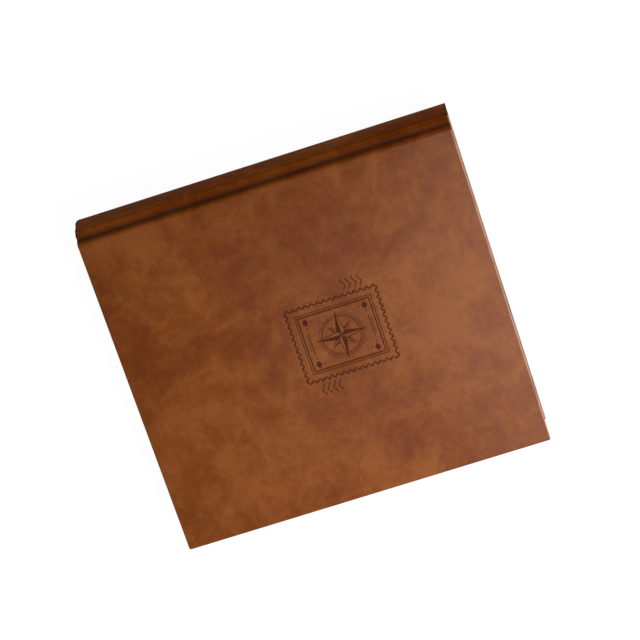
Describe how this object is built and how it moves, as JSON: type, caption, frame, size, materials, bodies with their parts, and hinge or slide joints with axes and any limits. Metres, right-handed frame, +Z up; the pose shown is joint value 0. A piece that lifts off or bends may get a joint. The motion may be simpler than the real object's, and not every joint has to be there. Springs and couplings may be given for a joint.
{
  "type": "stamp album",
  "caption": "Leather stock album with stiff covers, a rounded hinged spine and punched card leaves with clear pockets, threaded on a hidden twin-loop wire",
  "frame": {"origin": "middle of the closed album's base rectangle, on the outer face of the back cover", "axes": "+X from the spine to the fore-edge, +Y from tail to head, +Z up through the closed album, front cover on top"},
  "size_m": [0.2576, 0.28, 0.048],
  "materials": {
    "leather": "brown leather, cloud-like blotches, fine grain, soft sheen",
    "greyboard": null,
    "paper": null,
    "endpaper": null,
    "black_card": null,
    "guard_cloth": "black bookcloth over card",
    "clear_film": "clear glossy film pocket strip",
    "glassine": "translucent glazed interleaf sheet",
    "wire": "black nylon-coated steel binding wire"
  },
  "bodies": {
    "back_cover": {"back_leather": "leather", "back_board": "greyboard", "back_infill": "paper", "back_pastedown": "endpaper", "back_joint": "leather", "back_spacer": "greyboard", "back_end_card": "black_card", "binding_wire": "wire"},
    "spine": {"spine_leather": "leather", "spine_board": "greyboard", "spine_liner": "paper"},
    "front_cover": {"front_leather": "leather", "front_board": "greyboard", "front_infill": "paper", "front_pastedown": "endpaper", "front_joint": "leather"},
    "leaf_01": {"leaf_01_card": "black_card", "leaf_01_guard": "guard_cloth", "leaf_01_pockets": "clear_film", "leaf_01_glassine": "glassine"},
    "leaf_02": {"leaf_02_card": "black_card", "leaf_02_guard": "guard_cloth", "leaf_02_pockets": "clear_film", "leaf_02_glassine": "glassine"},
    "leaf_03": {"leaf_03_card": "black_card", "leaf_03_guard": "guard_cloth", "leaf_03_pockets": "clear_film", "leaf_03_glassine": "glassine"},
    "leaf_04": {"leaf_04_card": "black_card", "leaf_04_guard": "guard_cloth", "leaf_04_pockets": "clear_film", "leaf_04_glassine": "glassine"},
    "leaf_05": {"leaf_05_card": "black_card", "leaf_05_guard": "guard_cloth", "leaf_05_pockets": "clear_film", "leaf_05_glassine": "glassine"},
    "leaf_06": {"leaf_06_card": "black_card", "leaf_06_guard": "guard_cloth", "leaf_06_pockets": "clear_film", "leaf_06_glassine": "glassine"},
    "leaf_07": {"leaf_07_card": "black_card", "leaf_07_guard": "guard_cloth", "leaf_07_pockets": "clear_film", "leaf_07_glassine": "glassine"},
    "leaf_08": {"leaf_08_card": "black_card", "leaf_08_guard": "guard_cloth", "leaf_08_pockets": "clear_film", "leaf_08_glassine": "glassine"},
    "leaf_09": {"leaf_09_card": "black_card", "leaf_09_guard": "guard_cloth", "leaf_09_pockets": "clear_film", "leaf_09_glassine": "glassine"},
    "leaf_10": {"leaf_10_card": "black_card", "leaf_10_guard": "guard_cloth", "leaf_10_pockets": "clear_film", "leaf_10_glassine": "glassine"}
  },
  "joints": [
    {"name": "spine_hinge", "type": "hinge", "parent": "back_cover", "child": "spine", "pos_m": [-0.1241, 0, 0.002], "axis": [0, -1, 0], "range_deg": [0, 72]},
    {"name": "front_cover_hinge", "type": "hinge", "parent": "spine", "child": "front_cover", "pos_m": [-0.1241, 0, 0.046], "axis": [0, -1, 0], "range_deg": [0, 111]},
    {"name": "leaf_01_hinge", "type": "hinge", "parent": "back_cover", "child": "leaf_01", "pos_m": [-0.1062, 0, 0.02365], "axis": [0, -1, 0], "range_deg": [0, 166]},
    {"name": "leaf_02_hinge", "type": "hinge", "parent": "back_cover", "child": "leaf_02", "pos_m": [-0.1062, 0, 0.02365], "axis": [0, -1, 0], "range_deg": [0, 164]},
    {"name": "leaf_03_hinge", "type": "hinge", "parent": "back_cover", "child": "leaf_03", "pos_m": [-0.1062, 0, 0.02365], "axis": [0, -1, 0], "range_deg": [0, 162]},
    {"name": "leaf_04_hinge", "type": "hinge", "parent": "back_cover", "child": "leaf_04", "pos_m": [-0.1062, 0, 0.02365], "axis": [0, -1, 0], "range_deg": [0, 160]},
    {"name": "leaf_05_hinge", "type": "hinge", "parent": "back_cover", "child": "leaf_05", "pos_m": [-0.1062, 0, 0.02365], "axis": [0, -1, 0], "range_deg": [0, 158]},
    {"name": "leaf_06_hinge", "type": "hinge", "parent": "back_cover", "child": "leaf_06", "pos_m": [-0.1062, 0, 0.02365], "axis": [0, -1, 0], "range_deg": [0, 156]},
    {"name": "leaf_07_hinge", "type": "hinge", "parent": "back_cover", "child": "leaf_07", "pos_m": [-0.1062, 0, 0.02365], "axis": [0, -1, 0], "range_deg": [0, 154]},
    {"name": "leaf_08_hinge", "type": "hinge", "parent": "back_cover", "child": "leaf_08", "pos_m": [-0.1062, 0, 0.02365], "axis": [0, -1, 0], "range_deg": [0, 152]},
    {"name": "leaf_09_hinge", "type": "hinge", "parent": "back_cover", "child": "leaf_09", "pos_m": [-0.1062, 0, 0.02365], "axis": [0, -1, 0], "range_deg": [0, 150]},
    {"name": "leaf_10_hinge", "type": "hinge", "parent": "back_cover", "child": "leaf_10", "pos_m": [-0.1062, 0, 0.02365], "axis": [0, -1, 0], "range_deg": [0, 148]}
  ],
  "couplings": [
    {"joint": "spine_hinge", "follows": "front_cover_hinge", "ratio": 0.6486},
    {"joint": "leaf_01_hinge", "follows": "front_cover_hinge", "ratio": 1.4954},
    {"joint": "leaf_02_hinge", "follows": "front_cover_hinge", "ratio": 1.4774},
    {"joint": "leaf_03_hinge", "follows": "front_cover_hinge", "ratio": 1.4594},
    {"joint": "leaf_04_hinge", "follows": "front_cover_hinge", "ratio": 1.4414},
    {"joint": "leaf_05_hinge", "follows": "front_cover_hinge", "ratio": 1.4234},
    {"joint": "leaf_06_hinge", "follows": "front_cover_hinge", "ratio": 1.4054},
    {"joint": "leaf_07_hinge", "follows": "front_cover_hinge", "ratio": 1.3873},
    {"joint": "leaf_08_hinge", "follows": "front_cover_hinge", "ratio": 1.3693},
    {"joint": "leaf_09_hinge", "follows": "front_cover_hinge", "ratio": 1.3513},
    {"joint": "leaf_10_hinge", "follows": "front_cover_hinge", "ratio": 1.3333}
  ]
}
